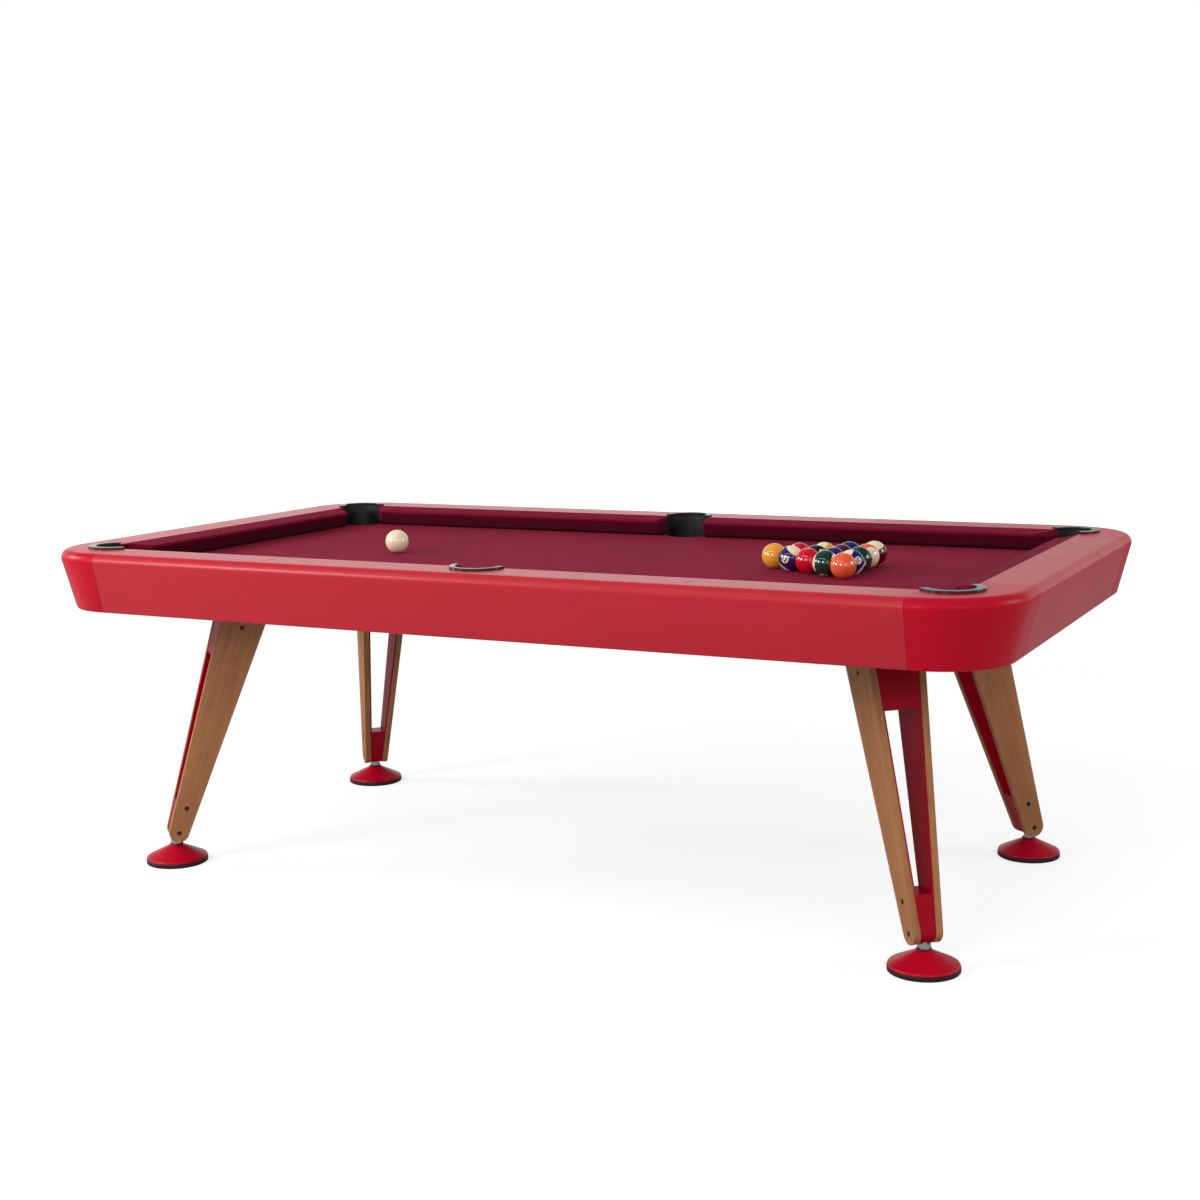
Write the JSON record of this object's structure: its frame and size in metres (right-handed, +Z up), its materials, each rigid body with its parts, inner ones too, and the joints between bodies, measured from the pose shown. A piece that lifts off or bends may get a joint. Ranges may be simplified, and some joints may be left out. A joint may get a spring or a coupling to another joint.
{
  "type": "pool table",
  "caption": "Pool table with leaning metal rail casings, rounded corners, cloth bed and cushions, ringed pockets, splayed wood-clad legs on bell feet, and racked balls.",
  "frame": {"origin": "on the floor, under the centre of the bed", "axes": "+X along the table towards the racked balls, +Y across it, +Z up"},
  "size_m": [2.31, 1.32, 0.7912],
  "materials": {
    "rail_paint": "satin",
    "leg_paint": "satin",
    "foot_paint": "satin",
    "frame_paint": "satin",
    "cushion_cloth": "matte",
    "bed_cloth": "matte",
    "cushion_rubber": "matte",
    "backing_wood": "matte",
    "slate": "matte",
    "pocket_cup": "satin",
    "trim_black": "satin",
    "sight_black": "satin",
    "screw_black": "satin",
    "slab_wood": "satin",
    "bright_steel": "satin",
    "foot_rubber": "satin",
    "ball_ivory": "gloss",
    "ball_yellow": "gloss",
    "ball_blue": "gloss",
    "ball_red": "gloss",
    "ball_purple": "gloss",
    "ball_orange": "gloss",
    "ball_green": "gloss",
    "ball_maroon": "gloss",
    "ball_black": "gloss"
  },
  "bodies": {
    "table": {"rail_front": "rail_paint", "rail_back": "rail_paint", "rail_left": "rail_paint", "rail_right": "rail_paint", "corner_front_left": "rail_paint", "corner_front_right": "rail_paint", "corner_back_left": "rail_paint", "corner_back_right": "rail_paint", "cushion_front_left": "cushion_cloth", "cushion_front_right": "cushion_cloth", "cushion_back_left": "cushion_cloth", "cushion_back_right": "cushion_cloth", "cushion_left": "cushion_cloth", "cushion_right": "cushion_cloth", "cushion_rubbers": "cushion_rubber", "cushion_backings": "backing_wood", "slate": "slate", "bed_cloth": "bed_cloth", "corner_pocket_cups": "pocket_cup", "side_pocket_cups": "pocket_cup", "pocket_trims": "trim_black", "sight_marks": "sight_black", "bed_frame": "frame_paint", "leg_screws": "screw_black", "leg_front_left_core": "leg_paint", "leg_front_right_core": "leg_paint", "leg_back_left_core": "leg_paint", "leg_back_right_core": "leg_paint", "leg_front_left_slabs": "slab_wood", "leg_front_right_slabs": "slab_wood", "leg_back_left_slabs": "slab_wood", "leg_back_right_slabs": "slab_wood"},
    "foot_front_left": {"foot_front_left_stud": "bright_steel", "foot_front_left_cone": "foot_paint", "foot_front_left_pad": "foot_rubber"},
    "foot_front_right": {"foot_front_right_stud": "bright_steel", "foot_front_right_cone": "foot_paint", "foot_front_right_pad": "foot_rubber"},
    "foot_back_left": {"foot_back_left_stud": "bright_steel", "foot_back_left_cone": "foot_paint", "foot_back_left_pad": "foot_rubber"},
    "foot_back_right": {"foot_back_right_stud": "bright_steel", "foot_back_right_cone": "foot_paint", "foot_back_right_pad": "foot_rubber"},
    "cue_ball": {"cue_ball": "ball_ivory"},
    "ball_1": {"ball_1": "ball_yellow"},
    "ball_2": {"ball_2": "ball_blue"},
    "ball_3": {"ball_3": "ball_red"},
    "ball_4": {"ball_4": "ball_purple"},
    "ball_5": {"ball_5": "ball_orange"},
    "ball_6": {"ball_6": "ball_green"},
    "ball_7": {"ball_7": "ball_maroon"},
    "ball_8": {"ball_8": "ball_black"},
    "ball_9": {"ball_9": "ball_yellow"},
    "ball_10": {"ball_10": "ball_blue"},
    "ball_11": {"ball_11": "ball_red"},
    "ball_12": {"ball_12": "ball_purple"},
    "ball_13": {"ball_13": "ball_orange"},
    "ball_14": {"ball_14": "ball_green"},
    "ball_15": {"ball_15": "ball_maroon"}
  },
  "joints": [
    {"name": "foot_front_left_turn", "type": "hinge", "parent": "table", "child": "foot_front_left", "pos_m": [-0.942, -0.438, 0.09], "axis": [0, 0, 1], "continuous": true},
    {"name": "foot_front_right_turn", "type": "hinge", "parent": "table", "child": "foot_front_right", "pos_m": [0.942, -0.438, 0.09], "axis": [0, 0, 1], "continuous": true},
    {"name": "foot_back_left_turn", "type": "hinge", "parent": "table", "child": "foot_back_left", "pos_m": [-0.942, 0.438, 0.09], "axis": [0, 0, 1], "continuous": true},
    {"name": "foot_back_right_turn", "type": "hinge", "parent": "table", "child": "foot_back_right", "pos_m": [0.942, 0.438, 0.09], "axis": [0, 0, 1], "continuous": true},
    {"name": "cue_ball_lift", "type": "slide", "parent": "table", "child": "cue_ball", "axis": [0, 0, 1], "range_m": [0, 0.1]},
    {"name": "ball_1_lift", "type": "slide", "parent": "table", "child": "ball_1", "axis": [0, 0, 1], "range_m": [0, 0.1]},
    {"name": "ball_2_lift", "type": "slide", "parent": "table", "child": "ball_2", "axis": [0, 0, 1], "range_m": [0, 0.1]},
    {"name": "ball_3_lift", "type": "slide", "parent": "table", "child": "ball_3", "axis": [0, 0, 1], "range_m": [0, 0.1]},
    {"name": "ball_4_lift", "type": "slide", "parent": "table", "child": "ball_4", "axis": [0, 0, 1], "range_m": [0, 0.1]},
    {"name": "ball_5_lift", "type": "slide", "parent": "table", "child": "ball_5", "axis": [0, 0, 1], "range_m": [0, 0.1]},
    {"name": "ball_6_lift", "type": "slide", "parent": "table", "child": "ball_6", "axis": [0, 0, 1], "range_m": [0, 0.1]},
    {"name": "ball_7_lift", "type": "slide", "parent": "table", "child": "ball_7", "axis": [0, 0, 1], "range_m": [0, 0.1]},
    {"name": "ball_8_lift", "type": "slide", "parent": "table", "child": "ball_8", "axis": [0, 0, 1], "range_m": [0, 0.1]},
    {"name": "ball_9_lift", "type": "slide", "parent": "table", "child": "ball_9", "axis": [0, 0, 1], "range_m": [0, 0.1]},
    {"name": "ball_10_lift", "type": "slide", "parent": "table", "child": "ball_10", "axis": [0, 0, 1], "range_m": [0, 0.1]},
    {"name": "ball_11_lift", "type": "slide", "parent": "table", "child": "ball_11", "axis": [0, 0, 1], "range_m": [0, 0.1]},
    {"name": "ball_12_lift", "type": "slide", "parent": "table", "child": "ball_12", "axis": [0, 0, 1], "range_m": [0, 0.1]},
    {"name": "ball_13_lift", "type": "slide", "parent": "table", "child": "ball_13", "axis": [0, 0, 1], "range_m": [0, 0.1]},
    {"name": "ball_14_lift", "type": "slide", "parent": "table", "child": "ball_14", "axis": [0, 0, 1], "range_m": [0, 0.1]},
    {"name": "ball_15_lift", "type": "slide", "parent": "table", "child": "ball_15", "axis": [0, 0, 1], "range_m": [0, 0.1]}
  ]
}
